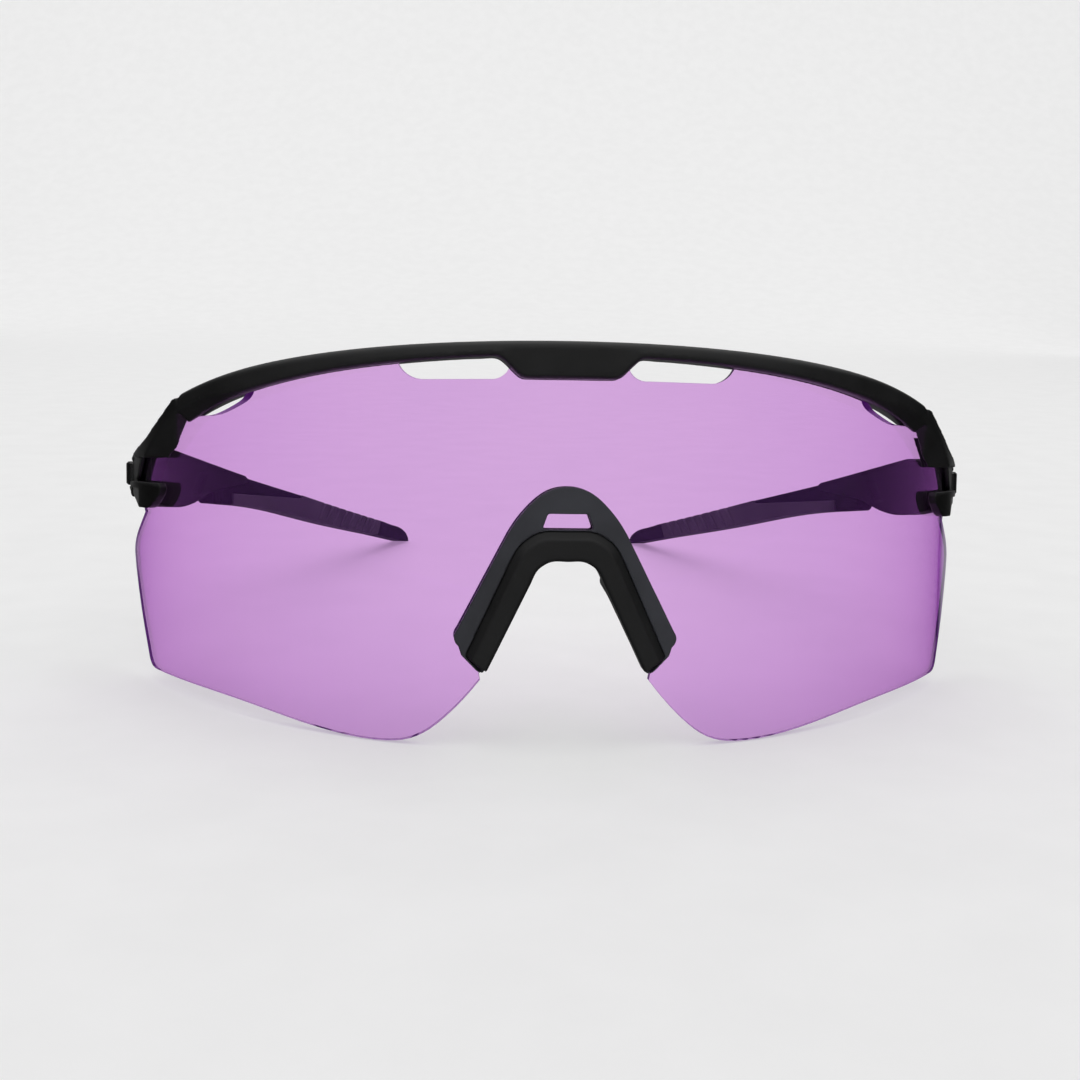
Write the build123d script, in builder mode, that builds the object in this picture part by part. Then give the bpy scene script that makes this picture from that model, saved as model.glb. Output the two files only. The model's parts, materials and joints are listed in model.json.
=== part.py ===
"""Wraparound sport sunglasses: one-piece shield lens under a brow frame, two folding temples.

Everything is drawn in the lens frame: the lens stands upright, its cylinder axis is parallel
to Z, the wearer looks along -Y and +X is the wearer's left. Each finished piece is then laid
in the rest pose: the glasses stand open on the lens's two lower lobes and the temple tips.
"""

from build123d import *
from math import asin, atan2, cos, degrees, hypot, radians, sin, tan
import os

# ---------------------------------------------------------------- driving dimensions, mm
LENS_RADIUS = 80.0            # outer face of the lens, a vertical cylinder
LENS_THICKNESS = 1.8
LENS_APEX_Y = -40.0           # foremost line of the lens
LENS_AXIS_Y = LENS_APEX_Y + LENS_RADIUS
LENS_BACK_RADIUS = LENS_RADIUS - LENS_THICKNESS
LENS_HALF_WIDTH_LIMIT = 73.0
SIDE_ANGLE = 55.0             # the side outlines are drawn on the plane tangent to the lens here

BROW_TOP = 58.85              # height of the brow's top edge at the middle
BROW_BLOCK_LOW = 53.4         # underside of the deeper block over the nose
BROW_FRONT_RADIUS = 83.2
BROW_BACK_RADIUS = 76.6
BROW_MEAN_RADIUS = 80.9
BROW_LIP_RADIUS = 82.4        # foot of the small bevel under the brow's front face
BROW_END_ANGLE = 47.0
BROW_BEVEL_START = 33.0       # the bevel widens from this angle to the end
BROW_END_BEVEL = 2.9          # its height at the end, where the arm takes it over
BROW_END_LIP_RADIUS, BROW_END_FRONT_RADIUS = 80.7, 82.8
BROW_STATION_STEP = 2.5       # spacing of the brow's sections, degrees

RAIL_BACK_RADIUS = 76.3       # inner face of the rail behind the lens
ARM_LOW = 40.9                # where the brow's arm ends on the hinge block
ARM_END_ANGLE = 61.6
ARM_BEVEL_TOP = 48.6          # height where the arm's inner bevel takes over from the brow's
ARM_RIDGE_FOOT = (55.5, 82.4)   # angle and radius of the arm's ridge on the hinge block

HINGE_X, HINGE_Y = 71.3, 6.5
KNUCKLE_RADIUS = 2.5
KNUCKLE_LOW, KNUCKLE_HIGH = 35.9, 40.0
KNUCKLE_END_PLAY = 0.2
LUG_RADIUS = 2.0
LUG_LOW = 33.9
LUG_CHEEK = 3.2               # the lugs' cheeks run this far forward, into the wall
UPPER_LUG_RADIUS, UPPER_LUG_HIGH = 1.5, ARM_LOW
SCREW_RADIUS = 0.6
SCREW_RECESS = 0.15           # the head sits this far up inside the lower lug
SCREW_RUNNING_CLEARANCE = 0.04
SCREW_HEAD_RADIUS, SCREW_HEAD_HEIGHT = 1.0, 0.75
SCREW_HEX_RADIUS, SCREW_HEX_DEPTH = 0.5, 0.45
SWING_RADIUS = KNUCKLE_RADIUS + 0.4   # the temple keeps outside this round the hinge
BLOCK_REAR_Y = HINGE_Y - 2.2          # nothing of the block but its lugs reaches behind this

TEMPLE_START_ANGLE = 12.6     # inward heading of the temple at the hinge
TEMPLE_BEND_RADIUS = 733.0    # gentle wrap round the head
TEMPLE_LENGTH = 130.5
TOP_START, TOP_FALL = 43.85, 0.1775   # the temple's top edge: height at the hinge, fall per mm
SHELL_INNER, SHELL_OUTER = 1.8, 2.1   # half thicknesses of the hard front part
CORE_HALF = 1.8               # half thickness of the core where it shows
TONGUE_HALF = 0.9             # half thickness of the core inside the shell and the grip
GRIP_HALF = 2.2
HINGE_TONGUE_HALF = 0.8

LIFT_TILT = 6.0               # the lens leans back by this much when the glasses stand


# ---------------------------------------------------------------- shared geometry
def lens_point(angle, radius, height=0.0):
    """Point at an angle round the lens axis, 0 at the middle, positive to the wearer's left."""
    turn = radians(angle)
    return (radius * sin(turn), LENS_AXIS_Y - radius * cos(turn), height)


def radial_plane(angle):
    """Upright plane through the lens axis: local x runs outwards from the axis."""
    turn = radians(angle)
    return Plane((0, LENS_AXIS_Y, 0), x_dir=(sin(turn), -cos(turn), 0), z_dir=(-cos(turn), -sin(turn), 0))


def side_plane(angle):
    """Upright plane tangent to the lens face: local x runs round the lens from its middle line."""
    turn = radians(angle)
    along = (cos(turn), sin(turn), 0)
    outwards = (sin(turn), -cos(turn), 0)
    face = lens_point(angle, LENS_RADIUS)
    start = [face[i] - along[i] * LENS_RADIUS * turn for i in range(3)]
    return Plane(start, x_dir=along, z_dir=outwards)


FRONT_VIEW = Plane.XZ         # local x, y are world X, Z; its normal looks forward (-Y)
SIDE_VIEW = side_plane(SIDE_ANGLE)
REACH = 70.0                  # long enough to cut through everything
WALL_REACH = 12.0             # through the side wall of the front, either way from its tangent plane
TEMPLE_REACH = 14.0           # through one temple, either way from its own upright plane


def ring(inner, outer, low, high):
    """Full ring round the lens axis, to be trimmed by an outline."""
    with BuildPart(mode=Mode.PRIVATE) as band:
        with BuildSketch(Plane.XY.offset(low)):
            with Locations((0, LENS_AXIS_Y)):
                Circle(outer)
                Circle(inner, mode=Mode.SUBTRACT)
        extrude(amount=high - low)
    return band.part


def brow_top(angle):
    """Top edge of the brow: a flat arch that falls faster towards the corners."""
    turn = radians(angle)
    return BROW_TOP - 7.63 * turn**2 - 5.25 * turn**4


def brow_low(x):
    """Lower edge of the brow at a distance from the middle, with the deeper nose block."""
    turn = asin(abs(x) / BROW_MEAN_RADIUS)
    bar = 56.65 - 10.7 * turn**2 - 6.5 * turn**4
    rise = min(max((abs(x) - 6.4) / 4.4, 0), 1)
    blend = rise * rise * (3 - 2 * rise)
    return BROW_BLOCK_LOW * (1 - blend) + bar * blend


# ---------------------------------------------------------------- lens
# the lens's edge in the hinge block, and how much of its face the block leaves open
LENS_END = ((84.1, 41.2), (87.4, 36.4), (84.0, 32.6), (83.4, 31.6))
OPEN_END = ((82.5, 41.2), (86.0, 36.4), (84.0, 32.6), (83.4, 31.6))

with BuildPart() as lens:
    add(ring(LENS_BACK_RADIUS, LENS_RADIUS, -1, BROW_TOP))
    with BuildSketch(FRONT_VIEW.offset(-20)):
        with BuildLine():
            top = Spline((0, 56.9), (21, 56.3), (45, 53.0), (58, 49.4), tangents=[(1, 0), (1, -0.4)])
            Polyline(top @ 1, (LENS_HALF_WIDTH_LIMIT, 40), (LENS_HALF_WIDTH_LIMIT, 5.0), (66.5, 5.3))
            lobe = Spline((24.6, 0.1), (33.0, 0.4), (46, 2.9), (66.5, 5.3), tangents=[(1, -0.12), (1, 0.08)])
            Spline((12.4, 9.7), (18.1, 3.4), lobe @ 0, tangents=[(0.75, -1), lobe % 0])
            flank = Polyline((12.4, 9.7), (12.7, 11.2), (7.6, 25.4))
            crown = ThreePointArc(flank @ 1, (5.0, 29.0), (1.5, 30.2))
            Line(crown @ 1, (0, 30.2))
            mirror(about=Plane.YZ)
        make_face()
    extrude(amount=REACH, mode=Mode.INTERSECT)
    # vent slots under the brow, beside the nose block
    with BuildSketch(FRONT_VIEW.offset(-20)):
        with BuildLine():
            Polyline((8.6, 57.5), (8.6, 55.2))
            ThreePointArc((8.6, 55.2), (9.6, 53.9), (11.5, 53.4))
            Line((11.5, 53.4), (21.0, 53.3))
            ThreePointArc((21.0, 53.3), (23.4, 54.1), (24.8, 56.0))
            Polyline((24.8, 56.0), (25.2, 57.5), (8.6, 57.5))
        make_face()
        mirror(about=Plane.YZ)
    extrude(amount=REACH, mode=Mode.SUBTRACT)
    # end vents and the side contour, cut square to the lens face
    with BuildSketch(SIDE_VIEW):
        with BuildLine():
            Polyline((51.5, 56.0), (52.2, 52.4))
            Spline((52.2, 52.4), (54.6, 49.7), (58.5, 48.3), (64.8, 47.7), tangents=[(0.1, -1), (1, -0.05)])
            Polyline((64.8, 47.7), (66.5, 47.8), *LENS_END)
            Spline(
                LENS_END[-1],
                (85.6, 29.75),
                (88.4, 27.5),
                (90.0, 25.0),
                (89.2, 21.7),
                tangents=[(1, -0.8), (-0.25, -1)],
            )
            Spline((89.2, 21.7), (84.6, 12.4), (81.8, 7.3), tangents=[(-0.45, -1), (-0.5, -1)])
            Spline((81.8, 7.3), (80.4, 5.8), (78.3, 5.3), tangents=[(-0.5, -1), (-1, -0.06)])
            Polyline((78.3, 5.3), (78.3, -3), (96, -3), (96, 56.0), (51.5, 56.0))
        make_face()
    side_waste = extrude(amount=WALL_REACH, both=True, mode=Mode.SUBTRACT)
    mirror(side_waste, about=Plane.YZ, mode=Mode.SUBTRACT)


# ---------------------------------------------------------------- brow frame
def brow_section(angle):
    """Outline of the brow in its radial plane: bevelled lip in front, soft top, plain back."""
    share = max(abs(angle) - BROW_BEVEL_START, 0) / (BROW_END_ANGLE - BROW_BEVEL_START)
    share = share * share * (3 - 2 * share)
    front = BROW_FRONT_RADIUS + share * (BROW_END_FRONT_RADIUS - BROW_FRONT_RADIUS)
    lip = BROW_LIP_RADIUS + share * (BROW_END_LIP_RADIUS - BROW_LIP_RADIUS)
    back = BROW_BACK_RADIUS
    side = abs(sin(radians(angle)))
    high = brow_top(angle)
    lip_low = brow_low(lip * side)
    front_low = brow_low(front * side) + 0.5 + share * (BROW_END_BEVEL - 0.5)
    inner_low, back_low = brow_low(77.4 * side), brow_low(back * side) + 0.9
    with BuildSketch(radial_plane(angle), mode=Mode.PRIVATE) as section:
        with BuildLine():
            Polyline((77.4, inner_low), (lip, lip_low), (front, front_low), (front - 0.25, high - 1.0))
            ThreePointArc((front - 0.25, high - 1.0), (front - 0.65, high - 0.25), (front - 1.5, high))
            Line((front - 1.5, high), (back + 1.2, high))
            ThreePointArc((back + 1.2, high), (back + 0.35, high - 0.35), (back, high - 1.2))
            Polyline((back, high - 1.2), (back, back_low), (77.4, inner_low))
        make_face()
    return section.sketch.faces()[0]


def brow_angles():
    """Angles of the brow's sections, closer together at the flanks of the nose block."""
    half = [2.0, 3.4, 4.4, 5.0, 5.6, 6.2, 6.8, 7.4, 8.0, 9.0, 10.5]
    while half[-1] + BROW_STATION_STEP < BROW_END_ANGLE:
        half.append(half[-1] + BROW_STATION_STEP)
    half.append(BROW_END_ANGLE)
    return [-angle for angle in reversed(half)] + [0.0] + half


BEVEL_WASTE_SIZE, BEVEL_WASTE_DEPTH = 40, 6   # block of waste taken off by a bevel or facet
with BuildPart() as arm:
    with BuildSketch(Plane.XY.offset(ARM_LOW)):
        with BuildLine():
            face = ThreePointArc(
                lens_point(44.5, BROW_END_FRONT_RADIUS), lens_point(54, 82.5), lens_point(ARM_END_ANGLE, 81.6)
            )
            Line(face @ 1, lens_point(ARM_END_ANGLE, LENS_BACK_RADIUS))
            inside = ThreePointArc(
                lens_point(ARM_END_ANGLE, LENS_BACK_RADIUS),
                lens_point(54, LENS_BACK_RADIUS),
                lens_point(44.5, LENS_BACK_RADIUS),
            )
            Line(inside @ 1, face @ 0)
        make_face()
    extrude(amount=12)
    with BuildSketch(SIDE_VIEW):
        with BuildLine():
            outer = Polyline(
                (65.0, 49.0), (65.6, 50.6), (66.6, 50.5), (70.4, 47.9), (76.6, 44.3), (86.2, ARM_LOW)
            )
            Line(outer @ 1, (75.4, ARM_LOW))
            ThreePointArc((75.4, ARM_LOW), (71.2, 41.6), (69.0, 44.2))
            Line((69.0, 44.2), outer @ 0)
        make_face()
    extrude(amount=WALL_REACH, both=True, mode=Mode.INTERSECT)
    # inner bevel: a plane through the end of the brow's own bevel and a point of the ridge below
    brow_corner = lens_point(BROW_END_ANGLE, BROW_END_FRONT_RADIUS, ARM_BEVEL_TOP)
    brow_foot = lens_point(BROW_END_ANGLE, BROW_END_LIP_RADIUS, ARM_BEVEL_TOP - BROW_END_BEVEL)
    ridge_foot = lens_point(*ARM_RIDGE_FOOT, ARM_LOW)
    across, along = Vector(brow_foot) - Vector(brow_corner), Vector(ridge_foot) - Vector(brow_corner)
    with BuildSketch(Plane(brow_corner, x_dir=along, z_dir=across.cross(along))):
        Rectangle(BEVEL_WASTE_SIZE, BEVEL_WASTE_SIZE)
    extrude(amount=BEVEL_WASTE_DEPTH, mode=Mode.SUBTRACT)

with BuildPart() as brow_frame:
    loft([brow_section(angle) for angle in brow_angles()])
    add(arm.part)
    mirror(arm.part, about=Plane.YZ)
    add(lens.part, mode=Mode.SUBTRACT)


# ---------------------------------------------------------------- hinge block and screw
HEAD_TOP = LUG_LOW + SCREW_RECESS + SCREW_HEAD_HEIGHT   # the head bears on the floor of its recess
HINGE_PLAN = Plane((HINGE_X, HINGE_Y, 0))


def band_region(start, end, outer_radii, inner):
    """Plan outline between an outer curve through three radii and an inner radius."""
    middle = (start + end) / 2
    face = ThreePointArc(*(lens_point(a, r) for a, r in zip((start, middle, end), outer_radii)))
    side = Line(face @ 1, lens_point(end, inner))
    back = ThreePointArc(side @ 1, lens_point(middle, inner), lens_point(start, inner))
    Line(back @ 1, face @ 0)


def lug(radius, low, high, cheek_in, cheek_out):
    """Hinge lug: an eye round the screw with straight cheeks running forward into the wall."""
    with BuildPart(mode=Mode.PRIVATE) as eye:
        with BuildSketch(HINGE_PLAN.offset(low)):
            Circle(radius)
            with Locations(((cheek_out - cheek_in) / 2, -LUG_CHEEK / 2)):
                Rectangle(cheek_in + cheek_out, LUG_CHEEK)
        extrude(amount=high - low)
    return eye.part


HOOK_LOW = 32.5               # the hook over the lens face and everything outside it end here
FACET_RIDGE = (58.7, 81.7)    # angle and radius of the ridge between the hook and the side facet
FACET_ANGLE = 68.0            # heading of the facet
with BuildPart() as hook:
    with BuildSketch(Plane.XY.offset(HOOK_LOW)):
        with BuildLine():
            band_region(50.0, 62.5, (80.6, 81.7, 81.5), LENS_RADIUS)
        make_face()
    extrude(amount=5.5)
    with BuildSketch(SIDE_VIEW):
        with BuildLine():
            top = Line((87.0, 36.8), (74.2, 36.8))
            curl = Spline((73.7, 36.2), (74.9, 34.3), (79.0, HOOK_LOW), tangents=[(0, -1), (1, 0)])
            Line(top @ 1, curl @ 0)
            Polyline(curl @ 1, (87.0, HOOK_LOW), top @ 0)
        make_face()
    extrude(amount=WALL_REACH, both=True, mode=Mode.INTERSECT)

with BuildPart() as lens_face_clearance:
    add(ring(LENS_RADIUS, LENS_RADIUS + 5, 28, 50))
    with BuildSketch(SIDE_VIEW):
        with BuildLine():
            Polyline((60, 28), (60, 50), (82.5, 50), *OPEN_END, (83.4, 28), (60, 28))
        make_face()
    extrude(amount=WALL_REACH, both=True, mode=Mode.INTERSECT)

with BuildPart() as hinge_block:
    with BuildSketch(Plane.XY.offset(31.4)):
        with BuildLine():
            band_region(49.0, 64.3, (81.2, 81.0, 80.6), RAIL_BACK_RADIUS)
        make_face()
    extrude(amount=16)
    with BuildSketch(SIDE_VIEW):
        with BuildLine():
            rail = Spline(
                (72.4, 46.9), (77.8, 42.0), (83.3, 36.3), (87.0, 32.6),
                tangents=[(0.9, -1), (0.8, -1)],
            )
            Polyline(rail @ 1, (87.9, 31.4), (94.0, 31.4), (94.0, ARM_LOW), (85.4, ARM_LOW))
            Polyline((85.4, ARM_LOW), (76.6, 44.1), (73.2, 46.1), rail @ 0)
        make_face()
    extrude(amount=WALL_REACH, both=True, mode=Mode.INTERSECT)
    add(lens_face_clearance.part, mode=Mode.SUBTRACT)
    # nothing in the way of the temple
    with BuildSketch(HINGE_PLAN.offset(30)):
        with Locations((0, 10 + BLOCK_REAR_Y - HINGE_Y)):
            Rectangle(40, 20)
    extrude(amount=20, mode=Mode.SUBTRACT)
    with BuildSketch(HINGE_PLAN.offset(KNUCKLE_LOW - KNUCKLE_END_PLAY)):
        Circle(KNUCKLE_RADIUS + 0.3)
    extrude(amount=KNUCKLE_HIGH - KNUCKLE_LOW + 2 * KNUCKLE_END_PLAY, mode=Mode.SUBTRACT)
    add(lug(LUG_RADIUS, LUG_LOW, KNUCKLE_LOW - KNUCKLE_END_PLAY, 1.9, 1.4))
    add(lug(UPPER_LUG_RADIUS, KNUCKLE_HIGH + KNUCKLE_END_PLAY, UPPER_LUG_HIGH, 1.4, 0.9))
    add(hook.part)
    # outside the hook the lower half of the block turns away to face the side
    turn = radians(FACET_ANGLE)
    with BuildSketch(Plane(lens_point(*FACET_RIDGE, 28), x_dir=(0, 0, 1), z_dir=(sin(turn), -cos(turn), 0))):
        Rectangle(2 * (KNUCKLE_LOW - KNUCKLE_END_PLAY - 28), 20)
    extrude(amount=BEVEL_WASTE_DEPTH, mode=Mode.SUBTRACT)
    # the lower outer corner is cut back below the knuckle, less so on the lug
    for behind, high_corner, low_corner in ((BLOCK_REAR_Y, 73.0, 69.6), (BLOCK_REAR_Y + 10, 73.35, 71.6)):
        with BuildSketch(FRONT_VIEW.offset(-behind)):
            with BuildLine():
                Polyline((high_corner, 35.8), (low_corner, HOOK_LOW), (69.5, HOOK_LOW))
                Polyline((69.5, HOOK_LOW), (69.5, 31), (76, 31), (76, 35.8), (high_corner, 35.8))
            make_face()
        extrude(amount=REACH if behind == BLOCK_REAR_Y else 10, mode=Mode.SUBTRACT)
    with BuildSketch(HINGE_PLAN.offset(HEAD_TOP - SCREW_HEAD_HEIGHT - 3)):
        Circle(SCREW_HEAD_RADIUS + 0.05)
    extrude(amount=SCREW_HEAD_HEIGHT + 3, mode=Mode.SUBTRACT)
    with BuildSketch(HINGE_PLAN.offset(LUG_LOW)):
        Circle(SCREW_RADIUS)
    extrude(amount=UPPER_LUG_HIGH, mode=Mode.SUBTRACT)
    add(lens.part, mode=Mode.SUBTRACT)
    add(brow_frame.part, mode=Mode.SUBTRACT)

with BuildPart() as hinge_screw:
    with BuildSketch(HINGE_PLAN.offset(HEAD_TOP - SCREW_HEAD_HEIGHT)):
        Circle(SCREW_HEAD_RADIUS)
        RegularPolygon(SCREW_HEX_RADIUS, 6, mode=Mode.SUBTRACT)
    extrude(amount=SCREW_HEX_DEPTH)
    with BuildSketch(HINGE_PLAN.offset(HEAD_TOP - SCREW_HEAD_HEIGHT + SCREW_HEX_DEPTH)):
        Circle(SCREW_HEAD_RADIUS)
    extrude(amount=SCREW_HEAD_HEIGHT - SCREW_HEX_DEPTH)
    with BuildSketch(HINGE_PLAN.offset(HEAD_TOP)):
        Circle(SCREW_RADIUS)
    extrude(amount=UPPER_LUG_HIGH - HEAD_TOP)


# ---------------------------------------------------------------- temples
heading = radians(TEMPLE_START_ANGLE)
mean_heading = heading + TEMPLE_LENGTH / TEMPLE_BEND_RADIUS / 2
bend_centre = (
    HINGE_X - TEMPLE_BEND_RADIUS * cos(heading),
    HINGE_Y - TEMPLE_BEND_RADIUS * sin(heading),
)
# Side view of the temple: local x is the distance back from the hinge, local y the height.
TEMPLE_VIEW = Plane(
    (HINGE_X, HINGE_Y, 0),
    x_dir=(-sin(mean_heading), cos(mean_heading), 0),
    z_dir=(cos(mean_heading), sin(mean_heading), 0),
)
TIP_Y = HINGE_Y + TEMPLE_LENGTH * cos(mean_heading) + GRIP_HALF * sin(mean_heading)
LOBE_Y, LOBE_LOW = LENS_AXIS_Y - LENS_BACK_RADIUS * cos(asin(27.5 / LENS_BACK_RADIUS)), -0.05
TIP_LOW = LOBE_LOW + (TIP_Y - LOBE_Y) * tan(radians(LIFT_TILT))


def temple_top(distance):
    """Top edge of the temple: a straight fall from the hinge to the tip."""
    return TOP_START - TOP_FALL * distance


def temple_strip(inner, outer):
    """Upright strip that follows the temple's plan curve, to be trimmed by a side outline."""
    with BuildPart(mode=Mode.PRIVATE) as strip:
        with BuildSketch(Plane.XY.offset(10)):
            with Locations(bend_centre):
                Circle(TEMPLE_BEND_RADIUS + outer)
                Circle(TEMPLE_BEND_RADIUS - inner, mode=Mode.SUBTRACT)
        extrude(amount=40)
    return strip.part


with BuildPart() as temple_knuckle:
    add(temple_strip(HINGE_TONGUE_HALF, HINGE_TONGUE_HALF))
    with BuildSketch(TEMPLE_VIEW):
        with BuildLine():
            Polyline((0, 36.6), (13.0, 36.2), (13.0, 38.6), (0, 39.4), close=True)
        make_face()
    extrude(amount=TEMPLE_REACH, both=True, mode=Mode.INTERSECT)
    with BuildSketch(HINGE_PLAN.offset(KNUCKLE_LOW)):
        Circle(KNUCKLE_RADIUS)
    extrude(amount=KNUCKLE_HIGH - KNUCKLE_LOW)
    with BuildSketch(HINGE_PLAN.offset(KNUCKLE_LOW - 1)):
        Circle(SCREW_RADIUS + SCREW_RUNNING_CLEARANCE)
    extrude(amount=KNUCKLE_HIGH, mode=Mode.SUBTRACT)
    rims = temple_knuckle.edges().filter_by(GeomType.CIRCLE)
    rims = rims.filter_by(lambda rim: abs(rim.radius - KNUCKLE_RADIUS) < 0.01)
    ends = rims.group_by(Axis.Z)[0] + rims.group_by(Axis.Z)[-1]
    chamfer(ends, 0.35)

CORE_OUT = 42.4               # where the shell ends and the core takes over the top edge
GRIP_START = 35.0
WEDGE_END = 69.0
TIP_START = 113.6
GROOVE_COUNT, GROOVE_START, GROOVE_STEP = 8, 76.0, 4.1
GROOVE_WIDTH, GROOVE_DEPTH = 1.5, 0.5
# flat core that runs through shell, grip and tip
with BuildPart() as core_tongue:
    add(temple_strip(TONGUE_HALF, TONGUE_HALF))
    with BuildSketch(TEMPLE_VIEW):
        with BuildLine():
            Polyline(
                (15.0, 33.6),
                (26.0, 33.9),
                (GRIP_START - 4, 32.3),
                (CORE_OUT, 31.9),
                (76, 27.0),
                (123.0, 19.3),
                (123.0, 20.6),
                (76, 28.6),
                (CORE_OUT + 3, 34.3),
                (CORE_OUT, 35.5),
                (15.0, 40.0),
                close=True,
            )
        make_face()
    extrude(amount=TEMPLE_REACH, both=True, mode=Mode.INTERSECT)

with BuildPart() as temple_core:
    add(temple_strip(CORE_HALF, CORE_HALF))
    with BuildSketch(TEMPLE_VIEW):
        with BuildLine():
            heel = Polyline((26.2, 33.9), (26.3, 32.9))
            ThreePointArc(heel @ 1, (26.8, 31.9), (28.0, 31.45))
            Polyline((28.0, 31.45), (GRIP_START, 30.9), (GRIP_START, 33.2), (WEDGE_END, 30.9))
            Polyline(
                (WEDGE_END, 30.9),
                (WEDGE_END, temple_top(WEDGE_END)),
                (CORE_OUT, temple_top(CORE_OUT) - 0.35),
                (CORE_OUT, 35.0),
                heel @ 0,
            )
        make_face()
    extrude(amount=TEMPLE_REACH, both=True, mode=Mode.INTERSECT)
    add(core_tongue.part)

with BuildPart() as temple_shell:
    add(temple_strip(SHELL_INNER, SHELL_OUTER))
    with BuildSketch(TEMPLE_VIEW):
        with BuildLine():
            Line((1.0, 33.3), (1.0, 39.8))
            crest = Spline(
                (1.0, 39.8), (4.6, 41.6), (10.5, temple_top(10.5)),
                tangents=[(0.6, 1), (1, -TOP_FALL)],
            )
            corner = (CORE_OUT - 1.2, temple_top(CORE_OUT - 1.2))
            Polyline(crest @ 1, corner, (CORE_OUT, 35.9), (CORE_OUT, 35.0), (26.2, 33.9))
            Spline((26.2, 33.9), (20.5, 32.4), (14.5, 31.5), (1.0, 33.3), tangents=[(-1, -0.25), (-1, 0.25)])
        make_face()
    extrude(amount=TEMPLE_REACH, both=True, mode=Mode.INTERSECT)
    with BuildSketch(HINGE_PLAN.offset(30)):
        Circle(SWING_RADIUS)
    extrude(amount=16, mode=Mode.SUBTRACT)
    # windows in the inner face that show the core
    with BuildSketch(TEMPLE_VIEW):
        with BuildLine():
            Polyline((20.6, 37.6), (24.2, 37.5), (20.4, 33.7), (17.4, 33.9), close=True)
        make_face()
        with BuildLine():
            Polyline((26.2, 37.3), (41.2, 34.9), (39.8, 34.6), (32.4, 35.6), close=True)
        make_face()
    extrude(amount=-TEMPLE_REACH, mode=Mode.SUBTRACT)
    add(core_tongue.part, mode=Mode.SUBTRACT)
    add(temple_knuckle.part, mode=Mode.SUBTRACT)

with BuildPart() as grip_grooves:
    add(temple_strip(GRIP_HALF + 0.5, GROOVE_DEPTH - GRIP_HALF))
    with BuildSketch(TEMPLE_VIEW):
        for number in range(GROOVE_COUNT):
            start = GROOVE_START + number * GROOVE_STEP
            middle = (start + 2.6, temple_top(start + 2.6) - 2.4)
            foot = (start + 0.6, temple_top(start) - 4.9)
            crest = (start + 5.6, temple_top(start + 5.6) + 0.5)
            with BuildLine():
                ThreePointArc(foot, middle, crest)
                Line(crest, (crest[0] + GROOVE_WIDTH, crest[1]))
                ThreePointArc(*((x + GROOVE_WIDTH, z) for x, z in (crest, middle, foot)))
                Line((foot[0] + GROOVE_WIDTH, foot[1]), foot)
            make_face()
    extrude(amount=TEMPLE_REACH, both=True, mode=Mode.INTERSECT)

with BuildPart() as temple_grip:
    add(temple_strip(GRIP_HALF, GRIP_HALF))
    with BuildSketch(TEMPLE_VIEW):
        with BuildLine():
            Polyline(
                (GRIP_START, 30.9),
                (GRIP_START, 33.2),
                (WEDGE_END, 30.9),
                (WEDGE_END, temple_top(WEDGE_END)),
                (TIP_START, temple_top(TIP_START) - 0.15),
                (TIP_START - 2, 20.1),
            )
            Spline(
                (TIP_START - 2, 20.1), (78, 25.2), (54, 29.0), (GRIP_START, 30.9),
                tangents=[(-1, 0.15), (-1, 0.07)],
            )
        make_face()
    extrude(amount=TEMPLE_REACH, both=True, mode=Mode.INTERSECT)
    add(core_tongue.part, mode=Mode.SUBTRACT)
    add(grip_grooves.part, mode=Mode.SUBTRACT)

with BuildPart() as temple_tip:
    add(temple_strip(GRIP_HALF, GRIP_HALF))
    with BuildSketch(TEMPLE_VIEW):
        with BuildLine():
            Line((TIP_START - 2, 20.1), (TIP_START, temple_top(TIP_START) - 0.15))
            Spline(
                (TIP_START, temple_top(TIP_START) - 0.15),
                (120, 22.2),
                (126.5, 20.7),
                (TEMPLE_LENGTH, TIP_LOW),
                tangents=[(1, -TOP_FALL), (0.25, -1)],
            )
            Polyline((TEMPLE_LENGTH, TIP_LOW), (TEMPLE_LENGTH - 1.4, TIP_LOW), (TIP_START - 2, 20.1))
        make_face()
    extrude(amount=TEMPLE_REACH, both=True, mode=Mode.INTERSECT)
    add(core_tongue.part, mode=Mode.SUBTRACT)


# ---------------------------------------------------------------- nosepiece
NOSE_APEX = 38.1
FLANGE_RADIUS, PLATE_RADIUS, TRIM_RADIUS = 80.8, 81.8, 82.8
REAR_FLANGE_RADIUS = 76.8
TRIM_BEVEL, TRIM_INNER_BEVEL = 1.2, 0.5


def carrier_edge():
    """Outer edge of the nose carrier, right half of the front view."""
    crown = Spline((0, NOSE_APEX), (3.4, 37.2), (6.2, 34.7), (8.7, 31.1), tangents=[(1, 0), (0.56, -1)])
    flank = Line(crown @ 1, (15.9, 17.0))
    corner = ThreePointArc(flank @ 1, (16.25, 15.9), (15.6, 14.8))
    foot = Polyline(corner @ 1, (15.2, 13.5), (13.0, 11.3), (12.1, 10.8))
    return foot @ 1


def trim_edge():
    """Outer edge of the rubber trim over the nose notch."""
    crown = Spline(
        (0, 31.7), (4.2, 31.45), (6.9, 29.6), (8.3, 27.2),
        tangents=[(1, 0), (0.46, -1)],
    )
    Line(crown @ 1, (14.6, 13.4))
    return (14.6, 13.4)


def web_edge():
    """Inner edge of the carrier, where it lines the lens notch."""
    crown = Spline((0, 29.3), (3.2, 29.0), (5.6, 27.2), (6.7, 25.0), tangents=[(1, 0), (0.36, -1)])
    Line(crown @ 1, (11.9, 10.9))
    return (11.9, 10.9)


def saddle_edge():
    """Inner edge of the rubber trim: the bridge over the nose."""
    crown = Spline((0, 27.35), (2.4, 27.3), (4.2, 26.2), (5.3, 24.1), tangents=[(1, 0), (0.45, -1)])
    Line(crown @ 1, (11.5, 11.2))
    return (11.5, 11.2)


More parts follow.
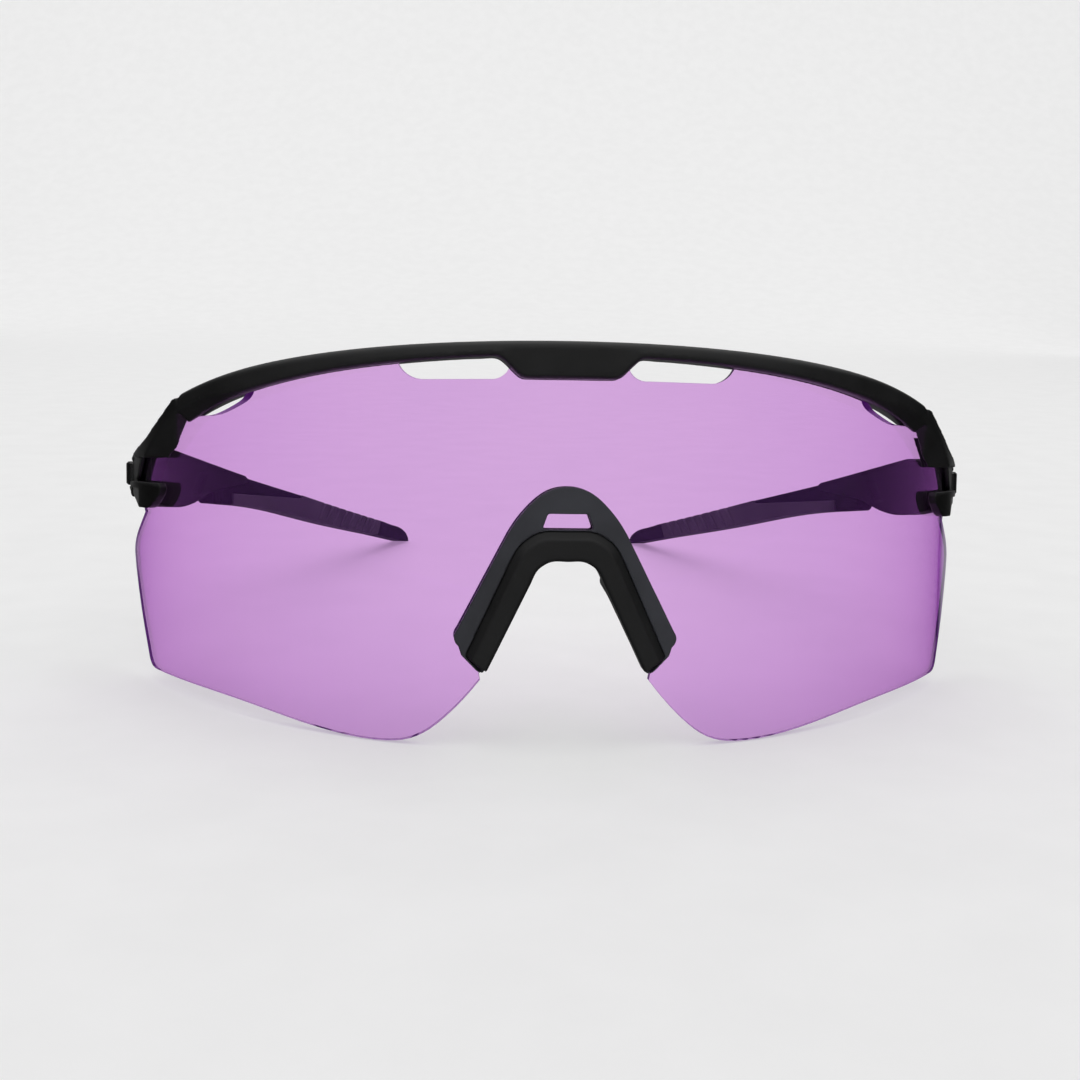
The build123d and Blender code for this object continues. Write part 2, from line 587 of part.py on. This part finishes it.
def nose_band(inner, outer, outer_edge, inner_edge):
    """Part of a ring round the lens axis between two edges of the front view."""
    with BuildPart(mode=Mode.PRIVATE) as band:
        add(ring(inner, outer, 8, 40))
        with BuildSketch(FRONT_VIEW.offset(20)):
            with BuildLine():
                Line(outer_edge(), inner_edge())
                mirror(about=Plane.YZ)
            make_face()
        extrude(amount=25, mode=Mode.INTERSECT)
    return band.part


with BuildPart() as nose_carrier:
    add(nose_band(REAR_FLANGE_RADIUS, FLANGE_RADIUS, carrier_edge, web_edge))
    add(nose_band(LENS_RADIUS, PLATE_RADIUS, carrier_edge, trim_edge))
    with BuildSketch(FRONT_VIEW.offset(20)):
        with BuildLine():
            Polyline((-3.7, 31.95), (3.7, 31.95), (2.9, 34.2), (-2.9, 34.2), close=True)
        make_face()
    extrude(amount=25, mode=Mode.SUBTRACT)
    add(lens.part, mode=Mode.SUBTRACT)


def front_edges(piece, heights):
    """Edges of the trim's front face whose middles are at one of the heights."""
    edges = []
    for edge in piece.edges():
        radii = [hypot((edge @ t).X, (edge @ t).Y - LENS_AXIS_Y) for t in (0, 0.5, 1)]
        on_front = all(abs(radius - TRIM_RADIUS) < 0.01 for radius in radii)
        if on_front and min(abs((edge @ 0.5).Z - height) for height in heights) < 0.1:
            edges.append(edge)
    return edges


with BuildPart() as nose_trim:
    add(nose_band(LENS_BACK_RADIUS, TRIM_RADIUS, trim_edge, saddle_edge))
    add(nose_carrier.part, mode=Mode.SUBTRACT)
    add(lens.part, mode=Mode.SUBTRACT)
    chamfer(front_edges(nose_trim, (31.7, 20.3)), TRIM_BEVEL)
    chamfer(front_edges(nose_trim, (27.35, 17.65)), TRIM_INNER_BEVEL)

with BuildPart() as nose_pad:
    for forward, upper, lower, width in (
        (38.0, (6.95, 24.0), (12.05, 13.4), 3.0),
        (28.6, (7.0, 23.4), (13.0, 13.9), 2.2),
    ):
        run, rise = lower[0] - upper[0], lower[1] - upper[1]
        with BuildSketch(FRONT_VIEW.offset(forward)):
            with Locations(((upper[0] + lower[0]) / 2, (upper[1] + lower[1]) / 2)):
                SlotCenterToCenter(hypot(run, rise), width, rotation=degrees(atan2(rise, run)))
    loft()
    for neighbour in (nose_carrier, nose_trim, lens):
        add(neighbour.part, mode=Mode.SUBTRACT)


# ---------------------------------------------------------------- rest pose and hand-over
single = {"lens": lens, "brow_frame": brow_frame, "nose_carrier": nose_carrier, "nose_trim": nose_trim}
paired = {
    "hinge_block": hinge_block,
    "hinge_screw": hinge_screw,
    "temple_knuckle": temple_knuckle,
    "temple_shell": temple_shell,
    "temple_core": temple_core,
    "temple_grip": temple_grip,
    "temple_tip": temple_tip,
    "nose_pad": nose_pad,
}
pieces = {name: piece.part for name, piece in single.items()}
for name, piece in paired.items():
    pieces[f"{name}_left"] = piece.part
    pieces[f"{name}_right"] = mirror(piece.part, about=Plane.YZ)

# lean the whole thing back on its lobes and tips, then stand it on the floor about the origin
for name, shape in pieces.items():
    pieces[name] = shape.moved(Location((0, 0, 0), (-LIFT_TILT, 0, 0)))
extent = Compound(list(pieces.values())).bounding_box()
stand = Location((0, -extent.center().Y, -extent.min.Z))

os.makedirs("parts", exist_ok=True)
for name, shape in pieces.items():
    standing = shape.moved(stand)
    standing.label = name
    export_step(standing, f"parts/{name}.step")
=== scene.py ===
"""Wraparound sport sunglasses on a pale studio floor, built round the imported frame."""

import json
import math

import bpy
from mathutils import Matrix, Vector


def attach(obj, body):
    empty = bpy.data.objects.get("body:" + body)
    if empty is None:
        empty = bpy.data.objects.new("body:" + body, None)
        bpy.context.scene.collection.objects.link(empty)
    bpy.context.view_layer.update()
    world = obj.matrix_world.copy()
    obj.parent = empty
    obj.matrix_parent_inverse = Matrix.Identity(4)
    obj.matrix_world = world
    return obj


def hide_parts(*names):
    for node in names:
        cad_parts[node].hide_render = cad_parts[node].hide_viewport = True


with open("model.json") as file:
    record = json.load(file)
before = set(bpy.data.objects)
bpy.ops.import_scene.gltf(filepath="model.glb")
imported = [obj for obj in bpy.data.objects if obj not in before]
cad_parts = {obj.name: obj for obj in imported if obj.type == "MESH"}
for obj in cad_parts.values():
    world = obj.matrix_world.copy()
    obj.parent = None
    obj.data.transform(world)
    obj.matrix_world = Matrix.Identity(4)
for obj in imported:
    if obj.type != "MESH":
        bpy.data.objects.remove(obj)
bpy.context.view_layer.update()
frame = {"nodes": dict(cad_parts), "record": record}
nodes = frame["nodes"]

MM = 0.001
HINGE_SHADE = (33.3 * MM, 34.0 * MM)   # height over which the painted shade on the hinge block fades from black to grey
RIM = "rim"                   # face attribute: 1 on the cut edge of the lens, 0 on its two faces
LENS_WELD = 0.002 * MM        # closes the seams between the CAD faces
LENS_BEVEL = 0.12 * MM        # break of the lens's cut edges
LENS_BEVEL_ANGLE = 50         # degrees; sharper edges than this are broken
FACE_COSINE = 0.98            # a face that looks this squarely along the radius is no rim

GRAIN_STRENGTH = 0.6
TONE_DRIFT = 0.25             # share by which a moulded colour drifts either way
GLOSS_DRIFT = 0.05
PAPER_EMISSION = 0.40
SKY_STRENGTH = 0.93
CURTAIN_RADIUS = 1.6          # metres
CURTAIN_LOW, CURTAIN_HIGH = 0.006, 0.62   # shares of that radius
FLOOR_REACH = 40.0            # far enough that no edge shows at eye level
BACKDROP_START, BACKDROP_HEIGHT = 1.4, 4.0
WALL_START, WALL_HEIGHT, WALL_SIDES = 3.0, 8.0, 72
SWEEP_RADIUS, SWEEP_STEPS = 1.2, 12   # of the paper's curve between floor and wall


# ---------------------------------------------------------------- materials
def new_material(name):
    """Material with a Principled shader; returns the material, its node tree and the shader."""
    material = bpy.data.materials.new(name)
    material.use_nodes = True
    tree = material.node_tree
    return material, tree, tree.nodes["Principled BSDF"]


def noise(tree, scale, detail=2.0, roughness=0.5, stretch=(1, 1, 1)):
    """Noise in the row's own metres, so that its grain has a real size."""
    place = tree.nodes.new("ShaderNodeTexCoord")
    mapping = tree.nodes.new("ShaderNodeMapping")
    mapping.inputs["Scale"].default_value = stretch
    texture = tree.nodes.new("ShaderNodeTexNoise")
    texture.inputs["Scale"].default_value = scale
    texture.inputs["Detail"].default_value = detail
    texture.inputs["Roughness"].default_value = roughness
    tree.links.new(place.outputs["Object"], mapping.inputs["Vector"])
    tree.links.new(mapping.outputs["Vector"], texture.inputs["Vector"])
    return texture.outputs["Fac"]


def spread(tree, value, low, high, at=(0.35, 0.65)):
    """Maps a value between two numbers or two colours."""
    if isinstance(low, (int, float)):
        step = tree.nodes.new("ShaderNodeMapRange")
        step.inputs["From Min"].default_value, step.inputs["From Max"].default_value = at
        step.inputs["To Min"].default_value, step.inputs["To Max"].default_value = low, high
        tree.links.new(value, step.inputs["Value"])
        return step.outputs["Result"]
    ramp = tree.nodes.new("ShaderNodeValToRGB")
    ramp.color_ramp.elements[0].position, ramp.color_ramp.elements[1].position = at
    ramp.color_ramp.elements[0].color = (*low, 1)
    ramp.color_ramp.elements[1].color = (*high, 1)
    tree.links.new(value, ramp.inputs["Fac"])
    return ramp.outputs["Color"]


def direction(tree, source):
    """The three parts of a texture coordinate."""
    place = tree.nodes.new("ShaderNodeTexCoord")
    parts = tree.nodes.new("ShaderNodeSeparateXYZ")
    tree.links.new(place.outputs[source], parts.inputs["Vector"])
    return parts.outputs


def blend(tree, factor, low, high):
    """Mix of two colours, each a plain colour or a node's output."""
    mix = tree.nodes.new("ShaderNodeMix")
    mix.data_type = "RGBA"
    tree.links.new(factor, mix.inputs[0])
    for socket, value in zip([socket for socket in mix.inputs if socket.type == "RGBA"], (low, high)):
        if isinstance(value, tuple):
            socket.default_value = value
        else:
            tree.links.new(value, socket)
    return [socket for socket in mix.outputs if socket.type == "RGBA"][0]


def moulded(name, colour, rough, grain=2600.0, depth=0.004, specular=0.5):
    """Moulded plastic or rubber: a fine grain, slightly uneven gloss and a slow drift of tone."""
    material, tree, shader = new_material(name)
    slow = noise(tree, 90.0, detail=3.0)
    fine = noise(tree, grain, detail=3.0, roughness=0.6)
    light = tuple(min(1.0, c * (1 + TONE_DRIFT)) for c in colour)
    dark = tuple(c * (1 - TONE_DRIFT) for c in colour)
    tree.links.new(spread(tree, slow, dark, light), shader.inputs["Base Color"])
    uneven = spread(tree, slow, rough - GLOSS_DRIFT, rough + GLOSS_DRIFT)
    tree.links.new(uneven, shader.inputs["Roughness"])
    bump = tree.nodes.new("ShaderNodeBump")
    bump.inputs["Strength"].default_value = GRAIN_STRENGTH
    bump.inputs["Distance"].default_value = depth * MM
    tree.links.new(fine, bump.inputs["Height"])
    tree.links.new(bump.outputs["Normal"], shader.inputs["Normal"])
    shader.inputs["Specular IOR Level"].default_value = specular
    return material


def painted_shade_hinge_material():
    """Satin grey of the hinge block, with painted shade that turns it black below the slit over the hook.
    """
    material = moulded("hinge_grey", (0.022, 0.022, 0.023), 0.4, specular=0.28)
    tree = material.node_tree
    shader = tree.nodes["Principled BSDF"]
    grey = shader.inputs["Base Color"].links[0].from_socket
    # painted shade: below this height the block's colour is darkened to near black
    height = spread(tree, direction(tree, "Object")["Z"], 0.0, 1.0, at=HINGE_SHADE)
    shade = blend(tree, height, (0.003, 0.003, 0.003, 1), grey)
    tree.links.new(shade, shader.inputs["Base Color"])
    return material


def lens_material():
    """Clear violet polycarbonate, absorbing along the way through, with a dulled rim."""
    material, tree, shader = new_material("lens_tint")
    slow = noise(tree, 40.0, detail=2.0)
    rim = tree.nodes.new("ShaderNodeAttribute")
    rim.attribute_name = RIM
    clear = spread(tree, slow, (0.98, 0.97, 0.99), (1.0, 0.99, 1.0))
    tint = blend(tree, rim.outputs["Fac"], clear, (0.38, 0.14, 0.53, 1))
    tree.links.new(tint, shader.inputs["Base Color"])
    tree.links.new(spread(tree, slow, 0.0, 0.012), shader.inputs["Roughness"])
    see_through = spread(tree, rim.outputs["Fac"], 1.0, 0.0, at=(0.0, 1.0))
    tree.links.new(see_through, shader.inputs["Transmission Weight"])
    shader.inputs["IOR"].default_value = 1.45
    shader.inputs["Specular Tint"].default_value = (0.62, 0.3, 1.0, 1)
    absorb = tree.nodes.new("ShaderNodeVolumeAbsorption")
    absorb.inputs["Color"].default_value = (0.75, 0.21, 0.86, 1)
    absorb.inputs["Density"].default_value = 530.0
    tree.links.new(absorb.outputs["Volume"], tree.nodes["Material Output"].inputs["Volume"])
    return material


def steel_material():
    """Fine turned steel."""
    material, tree, shader = new_material("screw_steel")
    rings = noise(tree, 900.0, detail=2.0, stretch=(1, 1, 12))
    tree.links.new(spread(tree, rings, (0.36, 0.36, 0.37), (0.55, 0.55, 0.56)), shader.inputs["Base Color"])
    tree.links.new(spread(tree, rings, 0.25, 0.4), shader.inputs["Roughness"])
    shader.inputs["Metallic"].default_value = 1.0
    return material


MATERIALS = {
    "lens_tint": lens_material(),
    "frame_black": moulded("frame_black", (0.008, 0.008, 0.0085), 0.42, specular=0.34),
    "hinge_grey": painted_shade_hinge_material(),
    "screw_steel": steel_material(),
    "gloss_black": moulded("gloss_black", (0.006, 0.006, 0.0065), 0.2, grain=1500, depth=0.001),
    "shell_black": moulded("shell_black", (0.011, 0.010, 0.012), 0.5, specular=0.12),
    "core_black": moulded("core_black", (0.005, 0.005, 0.0055), 0.55, specular=0.1),
    "grip_rubber": moulded(
        "grip_rubber", (0.055, 0.055, 0.059), 0.6, grain=3500, depth=0.008, specular=0.35
    ),
    "carrier_slate": moulded("carrier_slate", (0.034, 0.035, 0.043), 0.5, specular=0.35),
    "soft_rubber": moulded(
        "soft_rubber", (0.007, 0.007, 0.0075), 0.5, grain=3500, depth=0.006, specular=0.35
    ),
}

slot_of = {part["node"]: part["material_slot"] for part in frame["record"]["subparts"]}


def finish_surface(obj, slot_name):
    """Gives a mesh the material of a record slot."""
    obj.data.materials.clear()
    obj.data.materials.append(MATERIALS[slot_name])


for name, node in nodes.items():
    for place in node.material_slots:
        place.material = MATERIALS[slot_of[name]]


# ---------------------------------------------------------------- moulded shapes
def baked(obj):
    """Applies an object's modifiers to its mesh."""
    graph = bpy.context.evaluated_depsgraph_get()
    mesh = bpy.data.meshes.new_from_object(obj.evaluated_get(graph), depsgraph=graph)
    obj.modifiers.clear()
    old = obj.data
    obj.data = mesh
    bpy.data.meshes.remove(old)


def modifier(obj, kind, **settings):
    """Adds a modifier with its settings."""
    added = obj.modifiers.new(kind.lower(), kind)
    for key, value in settings.items():
        setattr(added, key, value)
    return added


def settled(obj, name, node_name, keep):
    """Thins a fine mesh, names it, gives it its material and ties it to the node's body."""
    modifier(obj, "DECIMATE", ratio=keep)
    baked(obj)
    obj.data.name = name
    obj.data.shade_smooth()
    finish_surface(obj, slot_of[node_name])
    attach(obj, BODY_OF[node_name])
    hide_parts(node_name)
    return obj


def fine_copy(node_name, voxel, passes):
    """Copy of a CAD node as one even mesh with its edges rounded by smoothing."""
    copy = bpy.data.objects.new(f"{node_name}_moulded", nodes[node_name].data.copy())
    bpy.context.scene.collection.objects.link(copy)
    modifier(copy, "REMESH", mode="VOXEL", voxel_size=voxel * MM, adaptivity=0.0)
    modifier(copy, "SMOOTH", factor=0.5, iterations=passes)
    baked(copy)
    return copy


BODY_OF = {node: body for body, held in frame["record"]["behaviour"]["bodies"].items() for node in held}

# node, voxel in mm, smoothing passes, share of faces kept
MOULDED = [
    ("brow_frame", 0.25, 8, 0.4),
    ("nose_carrier", 0.2, 4, 0.5),
    ("nose_trim", 0.2, 6, 0.5),
]
for side in ("left", "right"):
    MOULDED += [
        (f"hinge_block_{side}", 0.14, 5, 0.4),
        (f"temple_knuckle_{side}", 0.12, 4, 0.4),
        (f"temple_shell_{side}", 0.16, 4, 0.35),
        (f"temple_core_{side}", 0.2, 5, 0.4),
        (f"temple_grip_{side}", 0.2, 3, 0.5),
        (f"temple_tip_{side}", 0.2, 6, 0.5),
        (f"nose_pad_{side}", 0.2, 8, 0.5),
    ]
STAND = Vector((0, -46.0324, -3.40771)) * MM
LEAN = Matrix.Rotation(math.radians(-6), 3, "X")
LENS_AXIS = Vector((0, 40, 0)) * MM


def outward(point):
    """Direction away from the lens's own axis, which leans back by 6 degrees."""
    inside = LEAN.inverted() @ (point - STAND) - LENS_AXIS
    return (LEAN @ Vector((inside.x, inside.y, 0))).normalized()


def polished_lens():
    """Copy of the lens with its cut edges broken all round."""
    lens = bpy.data.objects.new("lens_polished", nodes["lens"].data.copy())
    bpy.context.scene.collection.objects.link(lens)
    modifier(lens, "WELD", merge_threshold=LENS_WELD)
    sharp = math.radians(LENS_BEVEL_ANGLE)
    modifier(lens, "BEVEL", width=LENS_BEVEL, segments=2, limit_method="ANGLE", angle_limit=sharp)
    baked(lens)
    finish_surface(lens, "lens_tint")
    # the two curved faces take the true normal of their cylinder, so that nothing behind them bends
    mesh = lens.data
    corner_normals = [Vector((0, 0, 1))] * len(mesh.loops)
    rim = mesh.attributes.new(RIM, "FLOAT", "FACE")
    for number, polygon in enumerate(mesh.polygons):
        facing = polygon.normal.dot(outward(polygon.center))
        on_face = abs(facing) > FACE_COSINE
        rim.data[number].value = 0.0 if on_face else 1.0
        for loop in polygon.loop_indices:
            normal = polygon.normal
            if on_face:
                normal = outward(mesh.vertices[mesh.loops[loop].vertex_index].co) * math.copysign(1, facing)
            corner_normals[loop] = normal
    mesh.normals_split_custom_set(corner_normals)
    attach(lens, "front")
    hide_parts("lens")


polished_lens()
for node_name, voxel, passes, keep in MOULDED:
    piece = fine_copy(node_name, voxel, passes)
    settled(piece, piece.name, node_name, keep)


# ---------------------------------------------------------------- floor, light and camera
def rising(start, height):
    """Profile of paper that leaves the floor at a distance and sweeps up into a wall."""
    profile = [(start, 0.0)]
    for step in range(1, SWEEP_STEPS + 1):
        turn = math.pi / 2 * step / SWEEP_STEPS
        profile.append((start + SWEEP_RADIUS * math.sin(turn), SWEEP_RADIUS * (1 - math.cos(turn))))
    profile.append((start + SWEEP_RADIUS, height))
    return profile


def paper_piece(name, points, faces, material):
    """Smooth sheet of studio paper, part of the stage."""
    mesh = bpy.data.meshes.new(name)
    mesh.from_pydata(points, [], faces)
    mesh.shade_smooth()
    mesh.materials.append(material)
    sheet = bpy.data.objects.new(name, mesh)
    bpy.context.scene.collection.objects.link(sheet)
    sheet.visible_glossy = False
    return sheet


def studio():
    """Pale floor that curves up into a backdrop, and a round wall that lights nothing."""
    material, tree, shader = new_material("studio_paper")
    grain = noise(tree, 60.0, detail=4.0)
    tree.links.new(spread(tree, grain, (0.49, 0.49, 0.49), (0.51, 0.51, 0.51)), shader.inputs["Base Color"])
    shader.inputs["Emission Color"].default_value = (1, 1, 1, 1)
    shader.inputs["Emission Strength"].default_value = PAPER_EMISSION
    shader.inputs["Roughness"].default_value = 0.9
    shader.inputs["Specular IOR Level"].default_value = 0.1

    profile = [(-FLOOR_REACH, 0.0)] + rising(BACKDROP_START, BACKDROP_HEIGHT)
    points = [(x, y, z) for y, z in profile for x in (-FLOOR_REACH, FLOOR_REACH)]
    faces = [(2 * i, 2 * i + 1, 2 * i + 3, 2 * i + 2) for i in range(len(profile) - 1)]
    paper_piece("studio_floor", points, faces, material)

    profile = rising(WALL_START, WALL_HEIGHT)
    points, faces = [], []
    for ring in range(WALL_SIDES):
        turn = 2 * math.pi * ring / WALL_SIDES
        points += [(away * math.sin(turn), away * math.cos(turn), z) for away, z in profile]
        here, beyond = ring * len(profile), (ring + 1) % WALL_SIDES * len(profile)
        faces += [(here + i, beyond + i, beyond + i + 1, here + i + 1) for i in range(len(profile) - 1)]
    wall = paper_piece("studio_wall", points, faces, material)
    wall.visible_diffuse = False
    wall.visible_shadow = False


def area_light(name, location, target, size, power):
    """Soft box that faces a point."""
    data = bpy.data.lights.new(name, "AREA")
    data.shape = "RECTANGLE"
    data.size, data.size_y = size
    data.energy = power
    lamp = bpy.data.objects.new(name, data)
    lamp.location = location
    lamp.rotation_euler = (Vector(target) - Vector(location)).to_track_quat("-Z", "Y").to_euler()
    bpy.context.scene.collection.objects.link(lamp)


# along Y, front to back, with a strip of light at each rear corner
TONES = [
    (0.0, 0.5), (0.3, 0.3), (0.5, 0.03), (0.86, 0.03),
    (0.885, 0.5), (0.935, 0.5), (0.95, 0.1), (1.0, 0.1),
]


def tone_ramp(tree, along_y):
    """Grey tones from the front of the set to its back."""
    ramp = tree.nodes.new("ShaderNodeValToRGB")
    elements = ramp.color_ramp.elements
    elements[0].position, elements[1].position = TONES[0][0], TONES[-1][0]
    for position, _ in TONES[1:-1]:
        elements.new(position)
    for element, (_, tone) in zip(elements, TONES):
        element.color = (tone, tone, tone, 1)
    tree.links.new(spread(tree, along_y, 0.0, 1.0, at=(-1, 1)), ramp.inputs["Fac"])
    return ramp.outputs["Color"]


def curtain(name, start, end):
    """Stretch of grey cloth round the set, unseen by the camera; it keeps the dark parts dark."""
    mesh = bpy.data.meshes.new(name)
    points, faces = [], []
    for number, angle in enumerate(range(start, end + 1, 10)):
        x, y = math.sin(math.radians(angle)), -math.cos(math.radians(angle))
        points += [(x, y, CURTAIN_LOW), (x, y, CURTAIN_HIGH)]
        if number:
            faces.append((2 * number - 2, 2 * number - 1, 2 * number + 1, 2 * number))
    mesh.from_pydata(points, [], faces)
    cloth = bpy.data.objects.new(name, mesh)
    cloth.scale = (CURTAIN_RADIUS,) * 3
    bpy.context.scene.collection.objects.link(cloth)
    material, tree, shader = new_material(name + "_cloth")
    tree.links.new(tone_ramp(tree, direction(tree, "Object")["Y"]), shader.inputs["Base Color"])
    shader.inputs["Roughness"].default_value = 1.0
    shader.inputs["Specular IOR Level"].default_value = 0.0
    mesh.materials.append(material)
    cloth.visible_camera = False
    cloth.visible_transmission = False
    return cloth


studio()
curtain("curtain_front", -150, 150)
rear = curtain("curtain_rear", 150, 210)
rear.visible_diffuse = False
rear.visible_shadow = False
area_light("key_top", (0.0, 0.1, 2.6), (0, 0, 0), (2.4, 2.0), 9.0)

world = bpy.data.worlds.new("studio_air")
world.use_nodes = True
tree = world.node_tree
parts = direction(tree, "Generated")
above = spread(tree, parts["Z"], 0.0, 1.0, at=(-0.02, -0.002))
sky = blend(tree, above, tone_ramp(tree, parts["Y"]), (1, 1, 1, 1))
tree.links.new(sky, tree.nodes["Background"].inputs["Color"])
tree.nodes["Background"].inputs["Strength"].default_value = SKY_STRENGTH
bpy.context.scene.world = world
bpy.context.scene.view_settings.view_transform = "Standard"

camera_data = bpy.data.cameras.new("camera")
camera_data.sensor_width = 36.0
camera_data.lens = 46.3
camera_data.clip_start = 0.01
camera = bpy.data.objects.new("camera", camera_data)
camera.location = (-15.24 * MM, -280.01 * MM, 66.44 * MM)
camera.rotation_euler = (math.radians(79.817), math.radians(-1.117), math.radians(-3.075))
bpy.context.scene.collection.objects.link(camera)
bpy.context.scene.camera = camera
